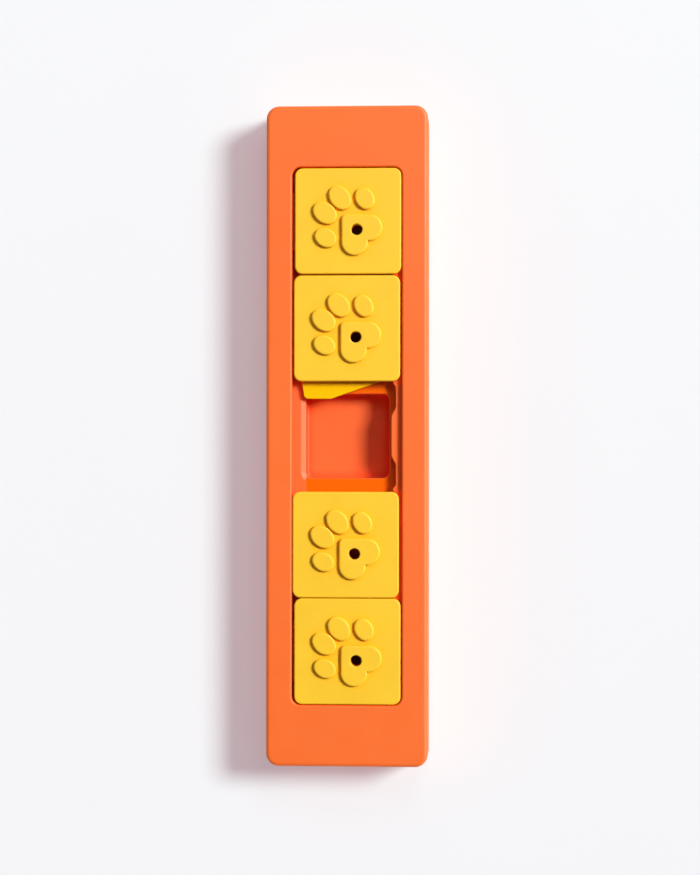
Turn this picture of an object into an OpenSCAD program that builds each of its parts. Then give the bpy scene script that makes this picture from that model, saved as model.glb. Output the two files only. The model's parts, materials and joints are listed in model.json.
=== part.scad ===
// Sliding-tile treat puzzle for dogs: a long moulded box with five treat wells in a row,
// four sliding tiles that cover all but one of them, and a keel plate under each tile that
// nests with the next one and runs below the edges of the deck.
// Millimetres. +Y runs along the row of tiles, +Z up, origin under the middle of the feet.

/* [Body] */
// Width of the deck at each side of its opening
border_w = 13.55; // [12.2:0.05:20]
// Length of the deck at each end of its opening
border_l = 32.15; // [26:0.05:50]
// Height of the deck above the table
body_h = 30; // [28:0.5:38]
// Radius of the upright corners
corner_r = 6.7; // [4.5:0.1:9]
// Rounding of the top outer edge
edge_r = 2; // [1:0.1:2.6]
// Thickness of the side walls
wall = 2.4; // [1.8:0.1:3]
// Thickness of the deck round the tiles
deck_t = 3.1; // [2.7:0.1:4]
// Rounding of the edge of the deck opening
opening_edge_r = 1; // [0.4:0.1:1.6]
// Radius of the corners of the deck opening
opening_r = 4.5; // [3:0.1:6]

/* [Tiles] */
// Width of a tile, across the row
tile_w = 55.6; // [50:0.1:62]
// Length of a tile, along the row
tile_l = 55.3; // [50:0.1:62]
// Radius of the tile corners
tile_r = 4.1; // [2.5:0.1:6]
// Rounding of the top edge of a tile
tile_edge_r = 0.8; // [0.3:0.1:1.4]
// Gap between two tiles that each lie over the middle of a well
tile_gap = 0.7; // [0.3:0.05:1]
// Gap at each side of a centred tile
side_gap = 0.9; // [0.7:0.05:1.6]
// Gap between the last tile, over the middle of its well, and the end of the opening
end_gap = 0.7; // [0.3:0.05:1.5]
// Clearance of every sliding face, and what is left between tiles that are pushed together
run_gap = 0.3; // [0.25:0.05:0.5]

/* [Paw relief] */
// Height of the relief above the tile
relief_h = 1.9; // [1:0.1:3]
// Rounding of the top edges of the relief
relief_edge_r = 0.6; // [0.2:0.1:0.9]
// Length of each inner toe
inner_toe_l = 13.7; // [12:0.1:14.5]
// Width of each inner toe
inner_toe_w = 10.5; // [9:0.1:11]
// Length of each outer toe
outer_toe_l = 12; // [10.5:0.1:13]
// Width of each outer toe
outer_toe_w = 9.6; // [8:0.1:10.5]
// Length of each straight side of the heel pad
pad_l = 21.3; // [19:0.1:22]
// Radius of the two lobes of the heel pad
pad_r = 6.9; // [6:0.1:7.5]
// Radius of the rounded point of the heel pad
pad_tip_r = 2.4; // [1.5:0.1:4]
// Diameter of the scent hole
scent_d = 5.9; // [3:0.1:7]

/* [Keel plates] */
// Thickness of a keel plate
keel_t = 2.6; // [2:0.1:3.2]
// From the locking side of the opening in to the keel plate
keel_in = 6.2; // [5.9:0.1:6.5]
// From the guiding side of the opening in to the keel plate
keel_in_guide = 4.8; // [4:0.1:6]
// How far the tongue reaches past the tile
tongue_out = 9; // [5:0.1:10]
// Width of the flat end of the tongue
tongue_flat = 14; // [8:0.1:20]
// How far the side of the tongue slants in
tongue_slant = 1.4; // [0:0.1:3]
// Gap between nested keel plates
keel_gap = 1.7; // [1:0.05:2.2]
// Length of each of the two locking tabs
lock_tab_l = 9.6; // [7:0.1:10]
// Distance between the two locking tabs
lock_tab_pitch = 15.6; // [15:0.1:16.5]
// How far a locking tab reaches past the keel plate
lock_tab_out = 2.5; // [2:0.05:2.5]
// Length of the guide tab at the other side
guide_tab_l = 30; // [16:1:34]

/* [Locking lip] */
// Thickness of the lip and of the guide rail
lip_t = 1.8; // [1.4:0.1:2.2]
// How far the lip reaches in over the locking tabs
lip_out = 5.5; // [5:0.1:5.8]
// Depth of the release pockets in the lip
pocket_in = 2.3; // [2:0.05:2.4]
// Length of one release pocket
pocket_l = 11; // [10.6:0.1:12]
// Depth of the lip at the point between two pockets
tooth_out = 4.7; // [4:0.1:5.2]

/* [Treat wells] */
// Width of a well
well_w = 44; // [36:0.1:45]
// Length of a well
well_l = 44.2; // [36:0.1:46]
// Depth of a well below the channel floor
well_depth = 11.9; // [8:0.1:13]
// Radius of the corners of a well
well_r = 3.5; // [2.5:0.1:8]
// Rounding along the bottom of a well
well_floor_r = 1; // [0.5:0.1:2.4]
// Rounding of the rim of a well
well_rim_r = 0.6; // [0.3:0.05:0.9]
// Width of the ramp beside each well
ramp_w = 2.6; // [1:0.1:3]
// Thickness of the tray and of the cups below its wells
tray_t = 2; // [1.5:0.1:2.4]
// Height of the ledge that carries the keel plates
ledge_h = 0.5; // [0.3:0.05:1]

/* [Base] */
// How far the feet stand out below the box
foot_out = 1.5; // [1:0.1:2.5]
// Diameter of a foot
foot_d = 12; // [8:0.5:14]
// Depth of the recess that holds a foot
foot_seat = 1; // [0.6:0.1:1.2]
// Thickness of the bottom cover
cover_t = 2; // [1.8:0.1:2.6]
// How far the cover lies inside the box
cover_in = 0.5; // [0:0.1:1]
// Gap round the cover and the tray
fit_gap = 0.3; // [0.15:0.05:0.5]
// Diameter of the body screws
screw_d = 3; // [2.5:0.1:3.2]
// Diameter of the heads of the body screws
screw_head_d = 5.2; // [4.6:0.1:5.6]
// Diameter of the tile screws
tile_screw_d = 2.2; // [1.8:0.1:2.6]
// Diameter of the heads of the tile screws
tile_screw_head_d = 4; // [3.4:0.1:4.6]

/* [Hidden] */
$fn = 72;
STATIONS = 5;
FREE_STATION = (STATIONS + 1) / 2; // the one that no tile covers at rest
TILE_LEAN = [0.9, 0, -1, 0.5]; // share of the side play that each tile has taken up
END_PUSH = [0.5, 0.5, -1, -1]; // share of the end play that each tile has taken up
TRAIN_PUSH = [0, 0, -1, 0]; // share of the gap to its neighbour that each tile has taken up

// colours
deck_colour = "#ff7a3c";
tray_colour = "#ff6a1e";
cover_colour = "#e8602a";
cap_colour = "#ffd03a";
keel_colour = "#ffc603";
foot_colour = "#3a3a3c";
screw_colour = "#c4c6c8";

// small sizes that cuts and joints share
slip = 0.05; // radial clearance of a screw in its pilot hole
bore_spare = 0.3; // how much deeper a pilot hole is than its screw
eps = 0.5; // how far a cut passes a face
bottom_edge_r = 0.6;

// places along the row
pitch = tile_l + tile_gap;
opening_w = tile_w + 2 * side_gap;
opening_l = STATIONS * pitch - tile_gap + 2 * end_gap;
body_w = opening_w + 2 * border_w;
body_l = opening_l + 2 * border_l;
function station_y(n) = (FREE_STATION - n) * pitch;
function tile_x(i) = TILE_LEAN[i - 1] * (side_gap - run_gap);
function tile_y(i) = station_y(i < FREE_STATION ? i : i + 1)
    + END_PUSH[i - 1] * (end_gap - run_gap) + TRAIN_PUSH[i - 1] * (tile_gap - run_gap);

// levels, from the deck down
deck_under = body_h - deck_t;
cap_under = deck_under + run_gap;
lip_under = deck_under - lip_t;
keel_top = lip_under - run_gap;
keel_under = keel_top - keel_t;
ledge_top = keel_under - run_gap;
floor_top = ledge_top - ledge_h;
tray_under = floor_top - tray_t;
well_floor = floor_top - well_depth;
well_under = well_floor - tray_t;
cover_under = foot_out + cover_in;
cover_top = cover_under + cover_t;

// screws of the box, between its side walls and the channel
boss_wall = 1.5;
boss_overlap = 0.8;
boss_r = screw_d / 2 + boss_wall;
tube_wall = 1.3;
tube_r = screw_head_d / 2 + slip + tube_wall;
tube_to_side = 0.5;
inner_w = body_w - 2 * wall;
inner_l = body_l - 2 * wall;
inner_r = corner_r - wall;
boss_x = inner_w / 2 - tube_to_side - tube_r;
screw_to_end = 9.1;
screw_span_y = inner_l / 2 - screw_to_end;
screw_rows = [-1, -1 / 3, 1 / 3, 1];
screw_seat = 6;
head_h = 2;
screw_bite = 5;

// the channel that the keel plates run in
channel_wall = 1.6;
channel_half = boss_x - boss_r + boss_overlap - channel_wall;
guide_reach = channel_half - side_gap;
channel_top_y = opening_l / 2 + 1;
channel_low_y = -(opening_l / 2 - end_gap + tongue_out + 1);
rail_set_back = 0.3;
lip_slope_l = 4.2;
lip_bend_r = 3;
pocket_bend_r = 2;
tooth_half = 0.4;

// keel outline
keel_left = keel_in_guide - opening_w / 2;
keel_right = opening_w / 2 - keel_in;
keel_step = pitch - keel_gap;
tongue_y = -(tile_l / 2 + tongue_out);
tongue_set_back = 3.8;
tongue_rise_x = keel_right - tongue_set_back;
tongue_tip_r = 2.3;
keel_bend_r = 2;
keel_corner_r = 1.5;
tab_corner_r = 1;

// screws that hold the keel plates on
keel_screw_x = 17;
keel_screw_up = 13;
keel_screw_down = 19;
keel_screws = [for (y = [keel_screw_up, -keel_screw_down], x = [-1, 1]) [x * keel_screw_x, y]];
standoff_r = 3;
keel_seat = 1.3;
keel_head_h = 1.2;
tile_screw_bite = 3.8;
scent_x = 4.65;
scent_wall = 1.8;

// the paw: where its toes and the point of its heel pad lie from the middle of the tile
inner_toe_at = [-4.15, 12];
inner_toe_turn = 129;
outer_toe_at = [8.8, 11.6];
outer_toe_turn = 119;
scent_inset = 7.95;
pad_corner = scent_x - scent_inset;
toe_seam = [3, 4] / norm([3, 4]); // direction of the lines on which the arcs of a toe meet

// feet and ribs of the cover, and the ramps beside the wells
foot_to_side = 6.8;
foot_to_screw = 21;
foot_x = inner_w / 2 - foot_d / 2 - foot_to_side;
foot_rows = [-1, 0, 1];
foot_span_y = screw_span_y - foot_to_screw;
foot_edge_r = 1;
rib_t = 1.6;
rib_x = 14;
ramp_drop = 1.54;
ramp_turn = 50; // how far a ramp follows the round corners of its well

// ---- shapes that repeat ----

module rounded_rect(w, l, r) {
    for (x = [-1, 1], y = [-1, 1]) translate([x * (w / 2 - r), y * (l / 2 - r)]) circle(r);
    square([w, l - 2 * r], center = true);
    square([w - 2 * r, l], center = true);
}

// Sweeps an upright half section round a rounded rectangle. The section is child 0, drawn from
// the corner centre outwards, and child 1 and 2 are the whole sections across w and across l.
module swept_body(w, l, r) {
    rotate([90, 0, 0]) linear_extrude(l - 2 * r, center = true) children(1);
    rotate([90, 0, 90]) linear_extrude(w - 2 * r, center = true) children(2);
    for (x = [0, 1], y = [0, 1]) mirror([x, 0, 0]) mirror([0, y, 0])
        translate([w / 2 - r, l / 2 - r, 0]) rotate_extrude(angle = 90) children(0);
}

// Right half of a block's section: from x = 0 to reach, with rounded outer edges
module block_edge(reach, h, top, low) {
    difference() {
        square([reach, h]);
        if (top > 0) translate([reach - top, h - top]) edge_waste(top);
        if (low > 0) translate([reach - low, low]) mirror([0, 1]) edge_waste(low);
    }
}

module edge_waste(r) {
    difference() {
        square(r + eps);
        circle(r);
    }
}

module block_section(w, h, top, low) {
    block_edge(w / 2, h, top, low);
    mirror([1, 0]) block_edge(w / 2, h, top, low);
}

// A block with its base at z = 0 and rounded upright, top and bottom edges
module block(w, l, h, r, top, low) {
    swept_body(w, l, r) {
        block_edge(r, h, top, low);
        block_section(w, h, top, low);
        block_section(l, h, top, low);
    }
}

// Right half of a pocket's section: a rounded bottom, and a rim that flares out to its face
module pocket_edge(reach, h, low, rim) {
    block_edge(reach, h + eps, 0, low);
    difference() {
        translate([reach - rim, h - rim]) square([2 * rim, rim + eps]);
        translate([reach + rim, h - rim]) circle(rim);
    }
}

module pocket_section(w, h, low, rim) {
    pocket_edge(w / 2, h, low, rim);
    mirror([1, 0]) pocket_edge(w / 2, h, low, rim);
}

// What is cut away for a pocket of depth h whose face is at z = 0
module pocket(w, l, h, r, low, rim) {
    translate([0, 0, -h]) swept_body(w, l, r) {
        pocket_edge(r, h, low, rim);
        pocket_section(w, h, low, rim);
        pocket_section(l, h, low, rim);
    }
}

// The arc that replaces corner p, between the points before and after it
function corner_arc(before, p, after, r) =
    let (
        u = (before - p) / norm(before - p),
        v = (after - p) / norm(after - p),
        half = acos(u * v) / 2,
        centre = p + (u + v) / norm(u + v) * r / sin(half),
        from = p + u * r / tan(half) - centre,
        to = p + v * r / tan(half) - centre,
        start = atan2(from.y, from.x),
        turn = (atan2(to.y, to.x) - start + 540) % 360 - 180,
        steps = max(2, ceil(abs(turn) / 12))
    )
    [for (i = [0:steps]) centre + r * [cos(start + turn * i / steps), sin(start + turn * i / steps)]];

// An outline of [x, y, radius] corners with each corner rounded
function smooth_outline(p) = [
    for (i = [0:len(p) - 1])
        let (
            here = [p[i][0], p[i][1]],
            last = p[(i + len(p) - 1) % len(p)],
            next = p[(i + 1) % len(p)]
        )
        each (p[i][2] > 0 ? corner_arc([last[0], last[1]], here, [next[0], next[1]], p[i][2]) : [here])
];

// ---- the box ----

module at_screws() {
    for (x = [-1, 1], row = screw_rows) translate([x * boss_x, row * screw_span_y, 0]) children();
}

module at_stations() {
    for (n = [1:STATIONS]) translate([0, station_y(n), 0]) children();
}

module channel_outline(grow) {
    translate([-channel_half - grow, channel_low_y - grow])
        square([2 * (channel_half + grow), channel_top_y - channel_low_y + 2 * grow]);
}

// Inner edge of the lip beside one station, from the low end of the row to the high end
function lip_edge(y) =
    let (
        bump = opening_w / 2 - lip_out,
        pocket = bump + pocket_in,
        tooth = opening_w / 2 - tooth_out,
        near = pitch / 2 - lock_tab_pitch / 2 - pocket_l / 2,
        far = near + pocket_l,
        full = near - lip_slope_l
    )
    [
        [tooth, y - pitch / 2 + tooth_half, 0],
        [pocket, y - far, pocket_bend_r],
        [pocket, y - near, lip_bend_r],
        [bump, y - full, lip_bend_r],
        [bump, y + full, lip_bend_r],
        [pocket, y + near, lip_bend_r],
        [pocket, y + far, pocket_bend_r],
        [tooth, y + pitch / 2 - tooth_half, 0]
    ];

module lip() {
    reach = channel_half + channel_wall / 2;
    points = [
        [reach, channel_low_y, 0],
        [opening_w / 2 - tooth_out, channel_low_y, 0],
        for (n = [STATIONS:-1:1]) each lip_edge(station_y(n)),
        [opening_w / 2 - tooth_out, channel_top_y, 0],
        [reach, channel_top_y, 0]
    ];
    translate([0, 0, lip_under]) linear_extrude(lip_t) polygon(smooth_outline(points));
}

module guide_rail() {
    inner = opening_w / 2 + rail_set_back;
    outer = channel_half + channel_wall / 2;
    translate([-outer, channel_low_y, lip_under])
        cube([outer - inner, channel_top_y - channel_low_y, lip_t]);
}

module channel_sides() {
    translate([0, 0, floor_top]) linear_extrude(deck_under - floor_top) difference() {
        channel_outline(channel_wall);
        channel_outline(0);
    }
}

module top_shell() color(deck_colour) {
    difference() {
        translate([0, 0, foot_out])
            block(body_w, body_l, body_h - foot_out, corner_r, edge_r, bottom_edge_r);
        translate([0, 0, foot_out - eps])
            linear_extrude(deck_under - foot_out + eps) rounded_rect(inner_w, inner_l, inner_r);
        translate([0, 0, body_h])
            pocket(opening_w, opening_l, deck_t + eps, opening_r, 0, opening_edge_r);
    }
    lip();
    guide_rail();
    channel_sides();
    difference() {
        at_screws() translate([0, 0, floor_top]) cylinder(r = boss_r, h = deck_under - floor_top);
        at_screws() translate([0, 0, floor_top - eps])
            cylinder(r = screw_d / 2 + slip, h = screw_bite + eps);
    }
}

// The slope that leads from the ledge into the near side of a well, and round its corners
module ramp_cut() {
    side = well_l / 2 - well_r;
    for (s = [0, 1]) mirror([0, s, 0]) {
        translate([-well_w / 2 + well_r, -side, ledge_top]) rotate([0, 0, 180])
            rotate_extrude(angle = ramp_turn) translate([well_r, 0]) ramp_section();
        translate([-well_w / 2, 0, ledge_top]) rotate([90, 0, 0]) linear_extrude(side)
            mirror([1, 0]) ramp_section();
    }
}

module ramp_section() {
    polygon([[-eps, -ramp_drop], [0, -ramp_drop], [ramp_w, 0], [ramp_w, eps], [-eps, eps]]);
}

module well_pocket() {
    translate([0, 0, floor_top])
        pocket(well_w, well_l, well_depth, well_r, well_floor_r, well_rim_r);
}

// The channel floor, with the mouths of the wells
module well_tray() color(tray_colour) difference() {
    union() {
        translate([0, 0, tray_under]) linear_extrude(tray_t)
            rounded_rect(inner_w - 2 * fit_gap, inner_l - 2 * fit_gap, inner_r - fit_gap);
        translate([-channel_half + fit_gap, channel_low_y + fit_gap, floor_top])
            cube([
                channel_half - fit_gap - well_w / 2,
                channel_top_y - channel_low_y - 2 * fit_gap,
                ledge_h
            ]);
    }
    at_stations() well_pocket();
    at_stations() ramp_cut();
    at_screws() translate([0, 0, tray_under - eps])
        cylinder(r = screw_d / 2 + 4 * slip, h = tray_t + 2 * eps);
}

// The walls and the bottom of one well, below the channel floor
module well_cup(n) color(tray_colour) translate([0, station_y(n), 0]) difference() {
    translate([0, 0, well_under])
        block(
            well_w + 2 * tray_t, well_l + 2 * tray_t, tray_under - well_under,
            well_r + tray_t, 0, well_floor_r + tray_t / 2
        );
    well_pocket();
}

module at_feet() {
    for (x = [-1, 1], row = foot_rows) translate([x * foot_x, row * foot_span_y, 0]) children();
}

module cover_ribs() {
    run = STATIONS * pitch - well_r;
    for (x = [-1, 1]) translate([x * rib_x - rib_t / 2, -run / 2, cover_top])
        cube([rib_t, run, well_under - cover_top]);
    at_stations() translate([-rib_x, -rib_t / 2, cover_top])
        cube([2 * rib_x, rib_t, well_under - cover_top]);
}

module bottom_cover() color(cover_colour) difference() {
    union() {
        translate([0, 0, cover_under]) linear_extrude(cover_t)
            rounded_rect(inner_w - 2 * fit_gap, inner_l - 2 * fit_gap, inner_r - fit_gap);
        at_screws() translate([0, 0, cover_under])
            cylinder(r = tube_r, h = screw_seat + cover_t);
        at_screws() translate([0, 0, cover_under]) cylinder(r = boss_r, h = tray_under - cover_under);
        cover_ribs();
    }
    at_screws() translate([0, 0, cover_under - eps])
        cylinder(r = screw_head_d / 2 + 2 * slip, h = screw_seat + eps);
    at_screws() translate([0, 0, cover_under])
        cylinder(r = screw_d / 2 + 4 * slip, h = tray_under - cover_under + eps);
    at_feet() translate([0, 0, cover_under - eps])
        cylinder(r = foot_d / 2 + slip, h = foot_seat + eps);
}

// A rubber foot with a rounded lower edge
module foot(i) color(foot_colour) {
    h = cover_under + foot_seat;
    row = foot_rows[(i - 1) % len(foot_rows)];
    side = i > len(foot_rows) ? 1 : -1;
    translate([side * foot_x, row * foot_span_y, 0])
        rotate_extrude() block_edge(foot_d / 2, h, 0, foot_edge_r);
}

// A pan-head screw, head down, with a cross in its head; z = 0 is the face that it clamps
module screw(d, head_d, head_t, shank) {
    cross = head_d * 0.55;
    slot_w = head_d * 0.16;
    difference() {
        translate([0, 0, -head_t]) cylinder(d = head_d, h = head_t);
        for (a = [0, 90]) rotate([0, 0, a])
            translate([-cross / 2, -slot_w / 2, -head_t - eps]) cube([cross, slot_w, head_t / 2 + eps]);
    }
    cylinder(d = d, h = shank);
}

module cover_screws() color(screw_colour) {
    seat = cover_under + screw_seat;
    at_screws() translate([0, 0, seat])
        screw(screw_d, screw_head_d, head_h, floor_top + screw_bite - bore_spare - seat);
}

// ---- the tiles ----

module disc(r, h, edge) {
    rotate_extrude() block_edge(r, h, edge, 0);
}

// A wedge of height h that opens from the origin to both sides of +X, up to p
module wedge(p, h) {
    translate([0, 0, -eps]) linear_extrude(h + 2 * eps)
        polygon([[0, 0], [p.x, -p.y], [p.x + p.y, -p.y], [p.x + p.y, p.y], p]);
}

// An oval pad of four arcs, each tangent to the next on a line along toe_seam
module oval_pad(l, w, h, edge) {
    apart = (l - w) / 2 / (toe_seam.x + toe_seam.y - 1);
    end_r = l / 2 - toe_seam.x * apart;
    side_r = end_r + apart;
    for (s = [0, 1]) {
        mirror([s, 0, 0]) translate([toe_seam.x * apart, 0, 0]) intersection() {
            disc(end_r, h, edge);
            wedge(2 * end_r * toe_seam, h);
        }
        mirror([0, s, 0]) translate([0, -toe_seam.y * apart, 0]) intersection() {
            disc(side_r, h, edge);
            rotate([0, 0, 90]) wedge(2 * side_r * [toe_seam.y, toe_seam.x], h);
        }
    }
}

// The heel pad: two round lobes and a rounded point, with its point at the origin
module heel_pad(h, edge) {
    lobe = pad_l - pad_r;
    for (s = [0, 1]) mirror([s, s, 0]) {
        translate([lobe, -pad_r, 0]) rotate([0, 0, 180])
            rotate_extrude(angle = 270) block_edge(pad_r, h, edge, 0);
        translate([pad_tip_r, -pad_r, 0]) rotate([90, 0, 90])
            linear_extrude(lobe - pad_tip_r) block_edge(pad_r, h, edge, 0);
    }
    translate([pad_tip_r, -pad_tip_r, 0]) rotate([0, 0, 90])
        rotate_extrude(angle = 90) block_edge(pad_tip_r, h, edge, 0);
    linear_extrude(h) polygon([
        [pad_tip_r, -pad_tip_r], [lobe, -pad_tip_r], [lobe, -pad_r],
        [pad_r, -lobe], [pad_tip_r, -lobe]
    ]);
}

// The paw, mirrored about the diagonal of the tile
module paw(h, edge) {
    translate([pad_corner, -pad_corner, 0]) heel_pad(h, edge);
    for (s = [0, 1]) mirror([s, s, 0]) {
        translate(inner_toe_at) rotate([0, 0, inner_toe_turn])
            oval_pad(inner_toe_l, inner_toe_w, h, edge);
        translate(outer_toe_at) rotate([0, 0, outer_toe_turn])
            oval_pad(outer_toe_l, outer_toe_w, h, edge);
    }
}

module at_tile(i) {
    translate([tile_x(i), tile_y(i), 0]) children();
}

module tile_cap(i) color(cap_colour) at_tile(i) difference() {
    union() {
        translate([0, 0, cap_under])
            block(tile_w, tile_l, body_h - cap_under, tile_r, tile_edge_r, 0);
        translate([0, 0, body_h - eps]) paw(relief_h + eps, relief_edge_r);
        for (p = keel_screws) translate([p.x, p.y, keel_top])
            cylinder(r = standoff_r, h = cap_under - keel_top + eps);
        translate([scent_x, -scent_x, keel_top])
            cylinder(r = scent_d / 2 + scent_wall, h = cap_under - keel_top + eps);
    }
    for (p = keel_screws) translate([p.x, p.y, keel_top - eps])
        cylinder(r = tile_screw_d / 2 + slip, h = tile_screw_bite + eps);
    translate([scent_x, -scent_x, keel_top - eps])
        cylinder(d = scent_d, h = body_h + relief_h - keel_top + 2 * eps);
}

module keel_outline() {
    flat_x = keel_left + tongue_slant + tongue_flat;
    polygon(smooth_outline([
        [keel_left, -tile_l / 2, 0],
        [keel_left + tongue_slant, tongue_y, tongue_tip_r],
        [flat_x, tongue_y, keel_bend_r],
        [tongue_rise_x, -keel_step / 2, keel_bend_r],
        [keel_right, -keel_step / 2, keel_corner_r],
        [keel_right, keel_step / 2, keel_corner_r],
        [tongue_rise_x, keel_step / 2, keel_bend_r],
        [flat_x, keel_step + tongue_y, keel_bend_r],
        [keel_left, keel_step + tongue_y, keel_corner_r]
    ]));
    for (y = [-1, 1]) translate([keel_right, y * lock_tab_pitch / 2])
        rounded_rect(2 * lock_tab_out, lock_tab_l, tab_corner_r);
    translate([-guide_reach, -guide_tab_l / 2])
        square([guide_reach + keel_left + eps, guide_tab_l]);
}

module tile_keel(i) color(keel_colour) at_tile(i) difference() {
    translate([0, 0, keel_under]) linear_extrude(keel_t) keel_outline();
    for (p = keel_screws) translate([p.x, p.y, keel_under - eps]) {
        cylinder(r = tile_screw_d / 2 + 2 * slip, h = keel_t + 2 * eps);
        cylinder(r = tile_screw_head_d / 2 + 2 * slip, h = keel_seat + eps);
    }
    translate([scent_x, -scent_x, keel_under - eps]) cylinder(d = scent_d, h = keel_t + 2 * eps);
}

module keel_screw_set(i) color(screw_colour) at_tile(i)
    for (p = keel_screws) translate([p.x, p.y, keel_under + keel_seat])
        screw(
            tile_screw_d, tile_screw_head_d, keel_head_h,
            keel_t - keel_seat + tile_screw_bite - bore_spare
        );

top_shell();
well_tray();
bottom_cover();
cover_screws();
well_cup(1);  // well_cup_1
well_cup(2);  // well_cup_2
well_cup(3);  // well_cup_3
well_cup(4);  // well_cup_4
well_cup(5);  // well_cup_5
foot(1);  // foot_1
foot(2);  // foot_2
foot(3);  // foot_3
foot(4);  // foot_4
foot(5);  // foot_5
foot(6);  // foot_6
tile_cap(1);  // tile_cap_1
tile_cap(2);  // tile_cap_2
tile_cap(3);  // tile_cap_3
tile_cap(4);  // tile_cap_4
tile_keel(1);  // tile_keel_1
tile_keel(2);  // tile_keel_2
tile_keel(3);  // tile_keel_3
tile_keel(4);  // tile_keel_4
keel_screw_set(1);  // keel_screws_1
keel_screw_set(2);  // keel_screws_2
keel_screw_set(3);  // keel_screws_3
keel_screw_set(4);  // keel_screws_4
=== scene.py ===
"""Dress a sliding-tile treat puzzle for dogs: moulded plastics, softened edges and a pale studio."""

import json
import math

import bpy
from mathutils import Matrix, Quaternion, Vector

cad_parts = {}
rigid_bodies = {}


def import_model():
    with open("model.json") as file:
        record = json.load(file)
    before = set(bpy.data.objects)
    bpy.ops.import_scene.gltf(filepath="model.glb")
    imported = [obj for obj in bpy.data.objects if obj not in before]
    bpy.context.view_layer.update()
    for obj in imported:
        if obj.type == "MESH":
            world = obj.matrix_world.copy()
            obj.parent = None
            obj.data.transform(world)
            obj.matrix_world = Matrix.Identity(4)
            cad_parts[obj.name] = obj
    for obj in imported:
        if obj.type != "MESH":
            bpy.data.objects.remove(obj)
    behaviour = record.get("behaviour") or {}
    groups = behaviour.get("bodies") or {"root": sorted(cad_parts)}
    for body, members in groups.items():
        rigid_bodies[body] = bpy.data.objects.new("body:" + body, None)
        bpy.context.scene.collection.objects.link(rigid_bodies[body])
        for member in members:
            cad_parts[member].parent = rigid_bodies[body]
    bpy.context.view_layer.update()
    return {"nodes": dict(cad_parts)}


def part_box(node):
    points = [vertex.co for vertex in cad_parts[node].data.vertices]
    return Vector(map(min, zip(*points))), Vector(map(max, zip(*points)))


bl_info = {
    "name": "Treat Puzzle Dresser",
    "version": (1, 0, 0),
    "blender": (4, 5, 0),
    "location": "View3D > Sidebar > Treat Puzzle",
    "description": "Finishes a sliding-tile treat puzzle and sets it in a pale studio",
    "category": "Object",
}

MM = 0.001
TILES = (1, 2, 3, 4)
WELLS = (1, 2, 3, 4, 5)
FEET = (1, 2, 3, 4, 5, 6)
ABS_IOR = 1.54
RUBBER_IOR = 1.52


def clear_scene():
    """Remove what a new Blender file starts with."""
    for thing in list(bpy.data.objects):
        bpy.data.objects.remove(thing)


clear_scene()
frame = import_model()
DECK_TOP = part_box("top_shell")[1].z


# ---- colours ----


def linear(code):
    """Turn an sRGB hex code into the linear colour that a shader takes."""
    channels = [int(code[i:i + 2], 16) / 255 for i in (1, 3, 5)]
    return tuple(c / 12.92 if c <= 0.04045 else ((c + 0.055) / 1.055) ** 2.4 for c in channels)


def rgba(colour):
    """Give a colour property the alpha that a colour socket has."""
    return (*colour[:3], 1.0)


def shade(colour, factor):
    """A lighter or darker cut of a colour."""
    return rgba([min(1.0, c * factor) for c in colour[:3]])


# ---- what the finishes are made of ----


def add(tree, kind, inputs=None, **settings):
    """Add a node with its settings. Its inputs go by their identifiers, and each takes a value,
    an output, or a node, which stands for the first of its outputs that is in use."""
    node = tree.nodes.new(kind)
    for name, value in settings.items():
        setattr(node, name, value)
    sockets = {socket.identifier: socket for socket in node.inputs}
    for name, value in (inputs or {}).items():
        if isinstance(value, bpy.types.Node):
            value = next(output for output in value.outputs if output.enabled)
        if isinstance(value, bpy.types.NodeSocket):
            tree.links.new(value, sockets[name])
        else:
            sockets[name].default_value = value
    return node


def new_material(name):
    """Start a node material with no nodes."""
    material = bpy.data.materials.new(name)
    material.use_nodes = True
    material.node_tree.nodes.clear()
    return material, material.node_tree


def surface(tree, settings):
    """End a material in one Principled shader."""
    shader = add(tree, "ShaderNodeBsdfPrincipled", settings)
    add(tree, "ShaderNodeOutputMaterial", {"Surface": shader})


def place_of(tree):
    """Coordinates in the frame of the moulding, in metres, which ride with it."""
    found = tree.nodes.get("Texture Coordinate") or add(tree, "ShaderNodeTexCoord")
    return found.outputs["Object"]


def height_of(tree):
    """Height above the feet, in metres."""
    return add(tree, "ShaderNodeSeparateXYZ", {"Vector": place_of(tree)}).outputs["Z"]


def near_height(tree, level, within_mm):
    """1 on what lies at a height, in metres, and 0 on what is over within_mm above or below it."""
    above = add(
        tree, "ShaderNodeMath", {"Value": height_of(tree), "Value_001": level},
        operation="SUBTRACT",
    )
    off = add(tree, "ShaderNodeMath", {"Value": above}, operation="ABSOLUTE")
    return add(
        tree, "ShaderNodeMapRange",
        {
            "Value": off, "From Min": 0.6 * within_mm * MM, "From Max": within_mm * MM,
            "To Min": 1.0, "To Max": 0.0,
        },
    )


def per_metre(width_mm):
    """Scale of a pattern whose features are width_mm across."""
    return 1 / (width_mm * MM)


def mottle(tree, width_mm, low, high, to=(0.0, 1.0), detail=2.0, where=None):
    """Soft patches width_mm across: a noise whose rise from low to high is stretched over to."""
    noise = add(
        tree, "ShaderNodeTexNoise",
        {"Vector": where or place_of(tree), "Scale": per_metre(width_mm), "Detail": detail},
    )
    return add(
        tree, "ShaderNodeMapRange",
        {"Value": noise, "From Min": low, "From Max": high, "To Min": to[0], "To Max": to[1]},
    )


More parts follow.
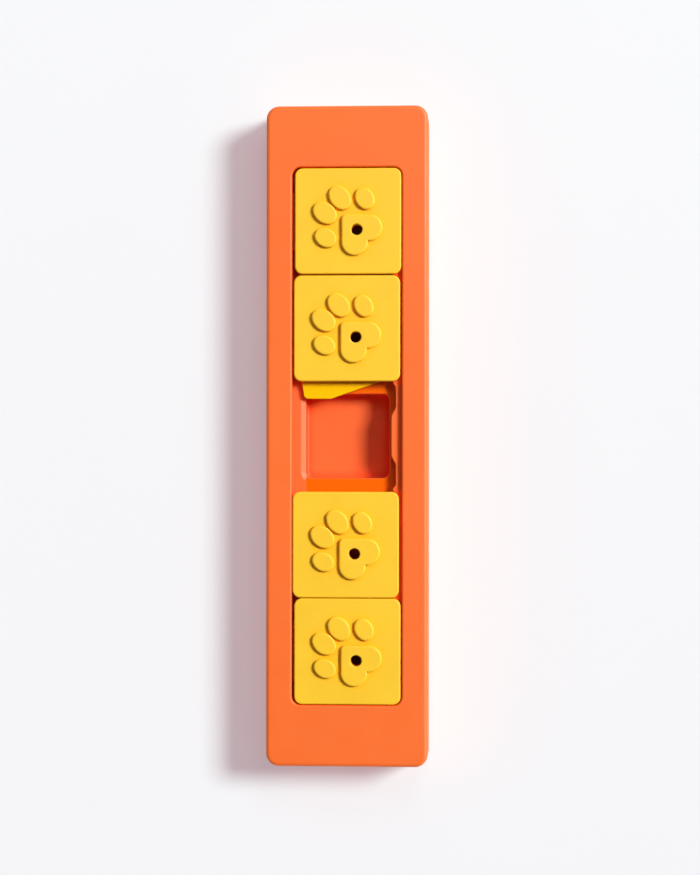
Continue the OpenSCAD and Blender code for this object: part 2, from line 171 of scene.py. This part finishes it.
def relief(tree, over, *layers):
    """Raise and lower a surface by layers of noise, each with its width in mm, its depth in mm
    and how fine its detail goes."""
    total = 0.0
    for width_mm, depth_mm, detail in layers:
        waves = add(
            tree, "ShaderNodeTexNoise",
            {"Vector": place_of(tree), "Scale": per_metre(width_mm), "Detail": detail},
        )
        total = add(
            tree, "ShaderNodeMath",
            {"Value": waves, "Value_001": depth_mm, "Value_002": total},
            operation="MULTIPLY_ADD",
        )
    return add(tree, "ShaderNodeBump", {"Height": total, "Distance": MM, "Normal": over})


def coats(tree, body, *layers):
    """Lay colours over a body colour, each as thick as its mask."""
    for mask, colour in layers:
        body = add(
            tree, "ShaderNodeMix", {"Factor_Float": mask, "A_Color": body, "B_Color": colour},
            data_type="RGBA",
        )
    return body


def soft_edges(tree, radius):
    """Normals of the small rounding that every edge of a moulding has, its radius in metres."""
    return add(tree, "ShaderNodeBevel", {"Radius": radius}, samples=8)


def openness(tree, reach_mm, alone=False):
    """1 on an open face, and 0 in a corner or a gap whose walls are nearer than reach_mm.
    It is the mask of the painted shade in corners and gaps.

    Alone, a piece takes no notice of its neighbours."""
    around = add(
        tree, "ShaderNodeAmbientOcclusion", {"Distance": reach_mm * MM},
        samples=6, only_local=alone,
    )
    corner = 0.45
    return add(
        tree, "ShaderNodeMapRange",
        {"Value": around.outputs["AO"], "From Min": corner, "From Max": 1.0},
    )


def worn(tree, rounded):
    """Mask of the edges that paws and cloths rub, broken up by noise."""
    flat = add(tree, "ShaderNodeNewGeometry").outputs["Normal"]
    turn = add(
        tree, "ShaderNodeVectorMath", {"Vector": rounded, "Vector_001": flat},
        operation="DOT_PRODUCT",
    )
    # Cosines of the turn at which an edge starts to be rubbed, and is rubbed in full.
    starts, full = 0.995, 0.86
    edge = add(tree, "ShaderNodeMapRange", {"Value": turn, "From Min": starts, "From Max": full})
    return add(
        tree, "ShaderNodeMath", {"Value": edge, "Value_001": mottle(tree, 6.0, 0.38, 0.62)},
        operation="MULTIPLY",
    )


def rub_marks(tree, gloss):
    """Roughness of a sliding face: a gloss with dull streaks along the way it slides."""
    streaks = add(
        tree, "ShaderNodeMapping", {"Vector": place_of(tree), "Scale": (1.0, 0.03, 1.0)}
    )
    return mottle(tree, 1.6, 0.4, 0.8, to=(gloss, gloss + 0.06), detail=3.0, where=streaks)


def pigment_and_painted_shade(tree, colour, wear, open_face, corner_shade_green):
    """Colour of a moulding: slow drifts of the dye, a painted shade in corners and gaps, a redder
    and darker tone that stands in for light bounced between dyed walls, and a paler line where edges
    are rubbed.

    In the painted shade no blue is left, and of the green the share corner_shade_green."""
    drift = mottle(tree, 26.0, 0.3, 0.7, detail=3.0)
    drifted = coats(tree, shade(colour, 0.97), (drift, shade(colour, 1.03)))
    # Painted shade: in corners and gaps the colour loses its blue and part of its green, as if lit
    # only by light bounced between dyed walls.
    painted_corner_shade = rgba((colour[0], colour[1] * corner_shade_green, 0.0))
    rub = add(tree, "ShaderNodeMath", {"Value": wear, "Value_001": 0.15}, operation="MULTIPLY")
    return coats(tree, painted_corner_shade, (open_face, drifted), (rub, shade(colour, 1.15)))


# ---- finishes ----


def textured_abs(name, colour, look, edge, reach_mm=3.0, corner_shade_green=0.6):
    """ABS moulded in a spark-eroded mould: a satin skin of fine pits with a broad, milky sheen.

    The edge is a radius in metres, or a function that builds one from the material's nodes."""
    material, tree = new_material(name)
    rounded = soft_edges(tree, edge(tree) if callable(edge) else edge)
    # open_face masks the painted shade in corners and gaps, on the colour and on the sheen.
    open_face = openness(tree, reach_mm)
    body = pigment_and_painted_shade(tree, colour, worn(tree, rounded), open_face, corner_shade_green)
    # The pits are 0.2 mm across on the mould and are drawn coarser, so that they show.
    speck = mottle(tree, look.grain_mm * 1.7, 0.42, 0.62, to=(0.0, 0.06), detail=1.0)
    body = coats(tree, body, (speck, shade(colour, 0.8)))
    skin = relief(tree, rounded, (look.grain_mm, look.grain_depth_mm, 2.0), (34.0, 0.05, 2.0))
    dullest, shiniest = look.satin + 0.03, look.satin - 0.03
    rough = mottle(tree, 11.0, 0.35, 0.65, to=(shiniest, dullest), detail=3.0)
    # Painted shade on the sheen: in corners and gaps its level falls to 0.2.
    sheen = add(
        tree, "ShaderNodeMix",
        {"Factor_Float": open_face, "A_Float": 0.2, "B_Float": look.sheen}, data_type="FLOAT",
    )
    surface(
        tree,
        {
            "Base Color": body, "Roughness": rough, "IOR": ABS_IOR,
            "Specular IOR Level": sheen, "Normal": skin,
        },
    )
    return material


def polished_abs(name, colour, look, edge, reach_mm, corner_shade_green):
    """ABS moulded against polished steel: a strong colour with a painted shade in corners and gaps,
    a clear gloss and faint flow ripples.
    """
    material, tree = new_material(name)
    rounded = soft_edges(tree, edge)
    body = pigment_and_painted_shade(tree, colour, worn(tree, rounded), openness(tree, reach_mm), corner_shade_green)
    ripples = relief(tree, rounded, (9.0, 0.012, 2.0))
    rough = rub_marks(tree, look.gloss)
    surface(tree, {"Base Color": body, "Roughness": rough, "IOR": ABS_IOR, "Normal": ripples})
    return material


def tray_abs(name, colour, look, edge, reach_mm, corner_shade_green):
    """One ABS moulding with two skins: satin wells and ledge, and a polished channel floor."""
    material, tree = new_material(name)
    # The walls of the wells stay smooth where they pass from the tray's plate into its cups.
    at_seam = near_height(tree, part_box("well_cup_1")[1].z, within_mm=0.6)
    flat = add(tree, "ShaderNodeNewGeometry").outputs["Normal"]
    rounded = add(
        tree, "ShaderNodeMix",
        {"Factor_Float": at_seam, "A_Vector": soft_edges(tree, edge), "B_Vector": flat},
        data_type="VECTOR",
    )
    # open_face masks the painted shade in the corners of the wells, on the colour and on the sheen.
    open_face = openness(tree, reach_mm, alone=True)
    body = pigment_and_painted_shade(tree, colour, worn(tree, rounded), open_face, corner_shade_green)
    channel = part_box("well_tray")[1].z - look.ledge_mm * MM
    polished = near_height(tree, channel, within_mm=0.05)
    # Painted light: the polished channel floor is given a clearer, yellower orange, standing in for
    # its look under the lamps without the milky sheen.
    body = coats(tree, body, (polished, rgba((colour[0], colour[1] * 1.12, 0.0))))
    satin = add(
        tree, "ShaderNodeMath", {"Value": 1.0, "Value_001": polished}, operation="SUBTRACT"
    )
    pits_mm = add(
        tree, "ShaderNodeMath", {"Value": satin, "Value_001": look.grain_depth_mm},
        operation="MULTIPLY",
    )
    skin = relief(tree, rounded, (look.grain_mm, pits_mm, 2.0), (20.0, 0.02, 2.0))
    rough = add(
        tree, "ShaderNodeMix",
        {"Factor_Float": satin, "A_Float": rub_marks(tree, look.gloss), "B_Float": look.satin},
        data_type="FLOAT",
    )
    # Painted shade on the sheen: in the corners its level falls to 0.4, as on the polished floor,
    # which has no milky skin.
    milky = add(
        tree, "ShaderNodeMath", {"Value": satin, "Value_001": open_face}, operation="MULTIPLY"
    )
    sheen = add(
        tree, "ShaderNodeMix",
        {"Factor_Float": milky, "A_Float": 0.4, "B_Float": look.sheen}, data_type="FLOAT",
    )
    surface(
        tree,
        {
            "Base Color": body, "Roughness": rough, "IOR": ABS_IOR,
            "Specular IOR Level": sheen, "Normal": skin,
        },
    )
    return material


def moulded_rubber(name, colour):
    """Moulded rubber: a dull, slightly dusty skin with a powdery bloom."""
    material, tree = new_material(name)
    dust = mottle(tree, 3.0, 0.45, 0.7, to=(0.0, 0.35), detail=4.0)
    body = coats(tree, rgba(colour), (dust, shade(colour, 2.2)))
    skin = relief(tree, soft_edges(tree, 0.2 * MM), (0.5, 0.03, 3.0))
    rough = mottle(tree, 2.0, 0.3, 0.7, to=(0.72, 0.85))
    surface(tree, {"Base Color": body, "Roughness": rough, "IOR": RUBBER_IOR, "Normal": skin})
    return material


def plated_steel(name, colour):
    """Zinc-plated steel: a soft grey metal with a faint warm cast and fine turning marks."""
    material, tree = new_material(name)
    warm = rgba((colour[0] * 1.02, colour[1] * 0.97, colour[2] * 0.86))
    body = coats(tree, rgba(colour), (mottle(tree, 1.6, 0.35, 0.65), warm))
    skin = relief(tree, soft_edges(tree, 0.1 * MM), (0.25, 0.006, 2.0))
    rough = mottle(tree, 0.9, 0.3, 0.7, to=(0.26, 0.42), detail=3.0)
    surface(tree, {"Base Color": body, "Metallic": 1.0, "Roughness": rough, "Normal": skin})
    return material


def studio_paper(name, colour, glow, share):
    """Matt white paper with a faint rosy glow from behind, so that its shadows are pale.

    The glow is there for the eye alone, in the paper itself or in a gloss or behind glass, and
    puts no light on the puzzle."""
    material, tree = new_material(name)
    body = coats(tree, rgba(colour), (mottle(tree, 60.0, 0.3, 0.7), shade(colour, 0.995)))
    paper = add(
        tree, "ShaderNodeBsdfPrincipled",
        {"Base Color": body, "Roughness": 0.95, "Specular IOR Level": 0.2},
    )
    back = add(tree, "ShaderNodeEmission", {"Color": rgba(glow), "Strength": 1.0})
    path = add(tree, "ShaderNodeLightPath").outputs
    indirect = add(
        tree, "ShaderNodeMath",
        {"Value": path["Is Glossy Ray"], "Value_001": path["Is Transmission Ray"]},
        operation="MAXIMUM",
    )
    seen = add(
        tree, "ShaderNodeMath", {"Value": path["Is Camera Ray"], "Value_001": indirect},
        operation="MAXIMUM",
    )
    part = add(tree, "ShaderNodeMath", {"Value": seen, "Value_001": share}, operation="MULTIPLY")
    both = add(tree, "ShaderNodeMixShader", {"Fac": part, "Shader": paper, "Shader_001": back})
    add(tree, "ShaderNodeOutputMaterial", {"Surface": both})
    return material


# ---- settings ----


class PuzzleFinish(bpy.types.PropertyGroup):
    """Colours and skins of the mouldings."""

    deck: bpy.props.FloatVectorProperty(
        name="Deck", description="Colour of the box", subtype="COLOR", min=0, max=1,
        default=linear("#ff6b00"),
    )
    tray: bpy.props.FloatVectorProperty(
        name="Tray", description="Colour of the wells and the channel", subtype="COLOR",
        min=0, max=1, default=linear("#ff6400"),
    )
    cover: bpy.props.FloatVectorProperty(
        name="Cover", description="Colour of the bottom cover", subtype="COLOR", min=0, max=1,
        default=linear("#f25f0a"),
    )
    cap: bpy.props.FloatVectorProperty(
        name="Tile", description="Colour of the tiles", subtype="COLOR", min=0, max=1,
        default=linear("#ffc900"),
    )
    keel: bpy.props.FloatVectorProperty(
        name="Keel", description="Colour of the plates under the tiles", subtype="COLOR",
        min=0, max=1, default=linear("#ffca00"),
    )
    rubber: bpy.props.FloatVectorProperty(
        name="Feet", description="Colour of the rubber feet", subtype="COLOR", min=0, max=1,
        default=linear("#37373a"),
    )
    steel: bpy.props.FloatVectorProperty(
        name="Screws", description="Colour of the plated screws", subtype="COLOR", min=0, max=1,
        default=linear("#c6c7c6"),
    )
    satin: bpy.props.FloatProperty(
        name="Satin", description="Roughness of a textured skin", default=0.58, min=0, max=1,
    )
    sheen: bpy.props.FloatProperty(
        name="Sheen", description="Strength of its milky sheen; 0.5 is that of plain ABS",
        default=0.8, min=0, max=1,
    )
    gloss: bpy.props.FloatProperty(
        name="Gloss", description="Roughness of a polished skin", default=0.2, min=0, max=1,
    )
    grain_mm: bpy.props.FloatProperty(
        name="Grain", description="Width of the pits of a textured skin, in millimetres",
        default=0.8, min=0.1, max=3,
    )
    grain_depth_mm: bpy.props.FloatProperty(
        name="Grain depth", description="Depth of those pits, in millimetres",
        default=0.02, min=0, max=0.2,
    )
    paw_mm: bpy.props.FloatProperty(
        name="Paw", description="Height of the paw above its tile, in millimetres",
        default=1.9, min=0.1, max=5,
    )
    paw_edge_mm: bpy.props.FloatProperty(
        name="Paw edge", description="Softness of the paw's edges, in millimetres",
        default=1.2, min=0.1, max=3,
    )
    ledge_mm: bpy.props.FloatProperty(
        name="Ledge", description="Height of the ledge above the channel floor, in millimetres",
        default=0.5, min=0.1, max=2,
    )


class PuzzleStudio(bpy.types.PropertyGroup):
    """Camera, lamps and floor."""

    distance: bpy.props.FloatProperty(
        name="Distance", description="From the deck to the camera", default=1.2,
        min=0.3, max=5, unit="LENGTH",
    )
    field: bpy.props.FloatProperty(
        name="Field", description="Height of the picture at the deck", default=0.4562,
        min=0.1, max=5, unit="LENGTH",
    )
    aim: bpy.props.FloatVectorProperty(
        name="Aim", description="Point of the deck plane at the middle of the picture",
        size=2, default=(1.7 * MM, -0.8 * MM), subtype="XYZ", unit="LENGTH",
    )
    lean_x: bpy.props.FloatProperty(
        name="Lean across", description="Camera angle from plumb, towards +X",
        default=math.radians(3.3), subtype="ANGLE",
    )
    lean_y: bpy.props.FloatProperty(
        name="Lean along", description="Camera angle from plumb, towards +Y",
        default=math.radians(-0.3), subtype="ANGLE",
    )
    roll: bpy.props.FloatProperty(
        name="Roll", description="Turn of the camera about its own axis",
        default=math.radians(0.05), subtype="ANGLE",
    )
    key_from: bpy.props.FloatVectorProperty(
        name="Key from", description="Direction towards the key light", size=3,
        default=(0.97, 0.4, 1.0), subtype="XYZ",
    )
    key_spread: bpy.props.FloatProperty(
        name="Key spread", description="Width of the key light as seen from the floor",
        default=math.radians(18), subtype="ANGLE",
    )
    key_level: bpy.props.FloatProperty(
        name="Key level", description="Share of a white floor's brightness from the key light",
        default=0.81, min=0, max=2,
    )
    head_at: bpy.props.FloatVectorProperty(
        name="Head lamp", description="Place of the lamp beyond the +Y end", size=3,
        default=(0.25, 0.6, 0.9), subtype="XYZ", unit="LENGTH",
    )
    head_size: bpy.props.FloatProperty(
        name="Head lamp size", description="Width of that lamp", default=0.45,
        min=0.01, max=2, unit="LENGTH",
    )
    head_level: bpy.props.FloatProperty(
        name="Head level", description="Share of a white floor's brightness from that lamp",
        default=0.09, min=0, max=2,
    )
    fill_level: bpy.props.FloatProperty(
        name="Fill level", description="Brightness of the walls round the puzzle",
        default=0.88, min=0, max=3,
    )
    overhead_level: bpy.props.FloatProperty(
        name="Overhead level", description="Brightness straight above, where the camera hangs",
        default=0.05, min=0, max=2,
    )
    backdrop_level: bpy.props.FloatProperty(
        name="Backdrop level", description="Brightness of the room where the camera sees it",
        default=0.94, min=0, max=1,
    )
    floor_reach: bpy.props.FloatProperty(
        name="Floor reach", description="Radius of the sheet of paper", default=4.0,
        min=1, max=20, unit="LENGTH",
    )
    paper: bpy.props.FloatVectorProperty(
        name="Paper", description="Colour of the floor", subtype="COLOR", min=0, max=1,
        default=linear("#e0f3f0"),
    )
    glow: bpy.props.FloatVectorProperty(
        name="Glow", description="Colour of the light behind the floor", subtype="COLOR",
        min=0, max=2, default=(1.31, 0.96, 1.08),
    )
    glow_share: bpy.props.FloatProperty(
        name="Glow share", description="Share of the floor that the camera sees by its glow",
        default=0.3, min=0, max=1,
    )


# ---- pieces ----


def paint(piece, material):
    """Give a CAD piece its finish through its own material slots."""
    for slot in piece.material_slots:
        slot.link = "OBJECT"
        slot.material = material


class PUZZLE_OT_place_camera(bpy.types.Operator):
    """Hang the camera over the deck"""

    bl_idname = "puzzle.place_camera"
    bl_label = "Place camera"

    def execute(self, context):
        studio = context.scene.puzzle_studio
        data = bpy.data.cameras.new("camera")
        data.sensor_width = 36.0
        data.lens = data.sensor_width * studio.distance / studio.field
        data.clip_start = 0.05
        camera = bpy.data.objects.new("camera", data)
        context.scene.collection.objects.link(camera)
        back = Vector((math.tan(studio.lean_x), math.tan(studio.lean_y), 1.0)).normalized()
        camera.location = Vector((*studio.aim, DECK_TOP)) + back * studio.distance
        camera.rotation_mode = "QUATERNION"
        across = Vector((0, 1, 0)).cross(back).normalized()
        level = Matrix((across, back.cross(across), back)).transposed().to_quaternion()
        camera.rotation_quaternion = level @ Quaternion((0, 0, 1), studio.roll)
        context.scene.camera = camera
        return {"FINISHED"}


class PUZZLE_OT_finish_shell(bpy.types.Operator):
    """Finish the box with its deck, lip and side walls"""

    bl_idname = "puzzle.finish_shell"
    bl_label = "Finish shell"

    def execute(self, context):
        look = context.scene.puzzle_finish
        # The deck gets a painted shade in its corners and gaps, within 6 mm.
        skin = textured_abs("textured_abs_deck", look.deck, look, edge=0.4 * MM, reach_mm=6.0)
        paint(frame["nodes"]["top_shell"], skin)
        return {"FINISHED"}


class PUZZLE_OT_finish_tray(bpy.types.Operator):
    """Finish the tray with its wells, ledge and channel floor"""

    bl_idname = "puzzle.finish_tray"
    bl_label = "Finish tray"

    def execute(self, context):
        look = context.scene.puzzle_finish
        # A painted shade reddens and darkens the corners of the wells, within 5 mm.
        skin = tray_abs(
            "satin_and_polished_abs_tray", look.tray, look, edge=0.3 * MM, reach_mm=5.0, corner_shade_green=0.5
        )
        for name in ("well_tray", *(f"well_cup_{i}" for i in WELLS)):
            paint(frame["nodes"][name], skin)
        return {"FINISHED"}


class PUZZLE_OT_finish_cover(bpy.types.Operator):
    """Finish the cover that closes the box from below"""

    bl_idname = "puzzle.finish_cover"
    bl_label = "Finish cover"

    def execute(self, context):
        look = context.scene.puzzle_finish
        # The cover gets a painted shade in its corners, within 3 mm.
        skin = textured_abs("textured_abs_cover", look.cover, look, edge=0.3 * MM)
        paint(frame["nodes"]["bottom_cover"], skin)
        return {"FINISHED"}


class PUZZLE_OT_finish_feet(bpy.types.Operator):
    """Finish the rubber feet"""

    bl_idname = "puzzle.finish_feet"
    bl_label = "Finish feet"

    def execute(self, context):
        rubber = moulded_rubber("moulded_rubber", context.scene.puzzle_finish.rubber)
        for i in FEET:
            paint(frame["nodes"][f"foot_{i}"], rubber)
        return {"FINISHED"}


class PUZZLE_OT_finish_screws(bpy.types.Operator):
    """Finish the screws of the box and of the tiles"""

    bl_idname = "puzzle.finish_screws"
    bl_label = "Finish screws"

    def execute(self, context):
        steel = plated_steel("zinc_plated_steel", context.scene.puzzle_finish.steel)
        for name in ("cover_screws", *(f"keel_screws_{i}" for i in TILES)):
            paint(frame["nodes"][name], steel)
        return {"FINISHED"}


class PUZZLE_OT_finish_tiles(bpy.types.Operator):
    """Finish the sliding tiles with their paw reliefs"""

    bl_idname = "puzzle.finish_tiles"
    bl_label = "Finish tiles"

    def execute(self, context):
        look = context.scene.puzzle_finish
        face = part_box("tile_cap_1")[1].z - look.paw_mm * MM

        def rounding(tree):
            """The paws, which start at the face of their tile, have softer edges than the tile."""
            return add(
                tree, "ShaderNodeMapRange",
                {
                    "Value": height_of(tree), "From Min": face, "From Max": face + 0.1 * MM,
                    "To Min": 0.25 * MM, "To Max": look.paw_edge_mm * MM,
                },
            )

        # A painted shade lies at the feet of the paws and in the gaps, within 5 mm.
        skin = textured_abs(
            "textured_abs_tile", look.cap, look, edge=rounding, reach_mm=5.0, corner_shade_green=0.82
        )
        for i in TILES:
            paint(frame["nodes"][f"tile_cap_{i}"], skin)
        return {"FINISHED"}


class PUZZLE_OT_finish_keels(bpy.types.Operator):
    """Finish the keel plates under the tiles"""

    bl_idname = "puzzle.finish_keels"
    bl_label = "Finish keels"

    def execute(self, context):
        look = context.scene.puzzle_finish
        # A painted shade lies in the keels' corners and gaps, within 6 mm.
        skin = polished_abs(
            "polished_abs_keel", look.keel, look, edge=0.45 * MM, reach_mm=6.0, corner_shade_green=0.62
        )
        for i in TILES:
            paint(frame["nodes"][f"tile_keel_{i}"], skin)
        return {"FINISHED"}


# ---- stage ----


def lay_floor(context, studio):
    """A round sheet of paper, much wider than the puzzle."""
    mesh = bpy.data.meshes.new("floor")
    steps = 96
    turns = [math.tau * i / steps for i in range(steps)]
    reach = studio.floor_reach
    ring = [(reach * math.cos(turn), reach * math.sin(turn), 0) for turn in turns]
    mesh.from_pydata(ring, [], [tuple(range(steps))])
    floor = bpy.data.objects.new("floor", mesh)
    context.scene.collection.objects.link(floor)
    paper = studio_paper("studio_paper", studio.paper, studio.glow, studio.glow_share)
    floor.data.materials.append(paper)


def hang_key(context, studio):
    """The key light: a wide soft window far to one side."""
    lamp = bpy.data.lights.new("key_window", "SUN")
    lamp.angle = studio.key_spread
    towards = Vector(studio.key_from).normalized()
    # A sun of strength pi straight above lights a white floor to 1.
    lamp.energy = studio.key_level * math.pi / towards.z
    key = bpy.data.objects.new("key_window", lamp)
    key.rotation_mode = "QUATERNION"
    key.rotation_quaternion = towards.to_track_quat("Z", "Y")
    context.scene.collection.objects.link(key)


def hang_head(context, studio):
    """A smaller soft lamp beyond the +Y end, near enough to light that end more."""
    lamp = bpy.data.lights.new("head_lamp", "AREA")
    lamp.shape = "DISK"
    lamp.size = studio.head_size
    place = Vector(studio.head_at)
    # A small lamp of (pi r) squared watts, r metres straight above, lights a white floor to 1.
    lamp.energy = studio.head_level * math.pi ** 2 * place.length_squared / place.normalized().z
    head = bpy.data.objects.new("head_lamp", lamp)
    head.location = place
    head.rotation_mode = "QUATERNION"
    head.rotation_quaternion = place.to_track_quat("Z", "Y")
    context.scene.collection.objects.link(head)


def light_room(context, studio):
    """Pale walls round the puzzle as a soft fill, and the dark above it where the camera hangs.

    The camera, and what it sees through clear pieces, gets a plain white in their place."""
    world = bpy.data.worlds.new("studio_room")
    world.use_nodes = True
    tree = world.node_tree
    tree.nodes.clear()
    towards = add(tree, "ShaderNodeTexCoord").outputs["Generated"]
    up = add(tree, "ShaderNodeSeparateXYZ", {"Vector": towards}).outputs["Z"]
    # Sines of the height above the horizon at which the walls end and the dark is full.
    walls_end, dark_from = 0.15, 0.5
    level = add(
        tree, "ShaderNodeMapRange",
        {
            "Value": up, "From Min": walls_end, "From Max": dark_from,
            "To Min": studio.fill_level, "To Max": studio.overhead_level,
        },
    )
    path = add(tree, "ShaderNodeLightPath").outputs
    seen = add(
        tree, "ShaderNodeMath",
        {"Value": path["Is Camera Ray"], "Value_001": path["Is Transmission Ray"]},
        operation="MAXIMUM",
    )
    strength = add(
        tree, "ShaderNodeMix",
        {"Factor_Float": seen, "A_Float": level, "B_Float": studio.backdrop_level},
        data_type="FLOAT",
    )
    white = (1.0, 1.0, 1.0, 1.0)
    room = add(tree, "ShaderNodeBackground", {"Color": white, "Strength": strength})
    add(tree, "ShaderNodeOutputWorld", {"Surface": room})
    context.scene.world = world


class PUZZLE_OT_build_stage(bpy.types.Operator):
    """Lay the floor and hang the lamps"""

    bl_idname = "puzzle.build_stage"
    bl_label = "Build stage"

    def execute(self, context):
        studio = context.scene.puzzle_studio
        lay_floor(context, studio)
        hang_key(context, studio)
        hang_head(context, studio)
        light_room(context, studio)
        context.scene.view_settings.view_transform = "Standard"
        return {"FINISHED"}


# ---- add-on ----


class PUZZLE_PT_dresser(bpy.types.Panel):
    """Sidebar panel with the steps in their order"""

    bl_idname = "PUZZLE_PT_dresser"
    bl_label = "Treat Puzzle"
    bl_space_type = "VIEW_3D"
    bl_region_type = "UI"
    bl_category = "Treat Puzzle"

    def draw(self, context):
        column = self.layout.column()
        for step in STEPS:
            column.operator(step.bl_idname)
        for group in (context.scene.puzzle_finish, context.scene.puzzle_studio):
            for name in group.__annotations__:
                column.prop(group, name)


STEPS = (
    PUZZLE_OT_place_camera,
    PUZZLE_OT_finish_shell,
    PUZZLE_OT_finish_tray,
    PUZZLE_OT_finish_cover,
    PUZZLE_OT_finish_feet,
    PUZZLE_OT_finish_screws,
    PUZZLE_OT_finish_tiles,
    PUZZLE_OT_finish_keels,
    PUZZLE_OT_build_stage,
)
CLASSES = (PuzzleFinish, PuzzleStudio, *STEPS, PUZZLE_PT_dresser)


def register():
    """Register the classes and give the scene its two groups of settings."""
    for cls in CLASSES:
        bpy.utils.register_class(cls)
    bpy.types.Scene.puzzle_finish = bpy.props.PointerProperty(type=PuzzleFinish)
    bpy.types.Scene.puzzle_studio = bpy.props.PointerProperty(type=PuzzleStudio)


def unregister():
    """Take the settings and the classes away again."""
    del bpy.types.Scene.puzzle_studio
    del bpy.types.Scene.puzzle_finish
    for cls in reversed(CLASSES):
        bpy.utils.unregister_class(cls)


def main():
    """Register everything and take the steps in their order."""
    register()
    for step in STEPS:
        group, name = step.bl_idname.split(".")
        getattr(getattr(bpy.ops, group), name)()


if __name__ == "__main__":
    main()
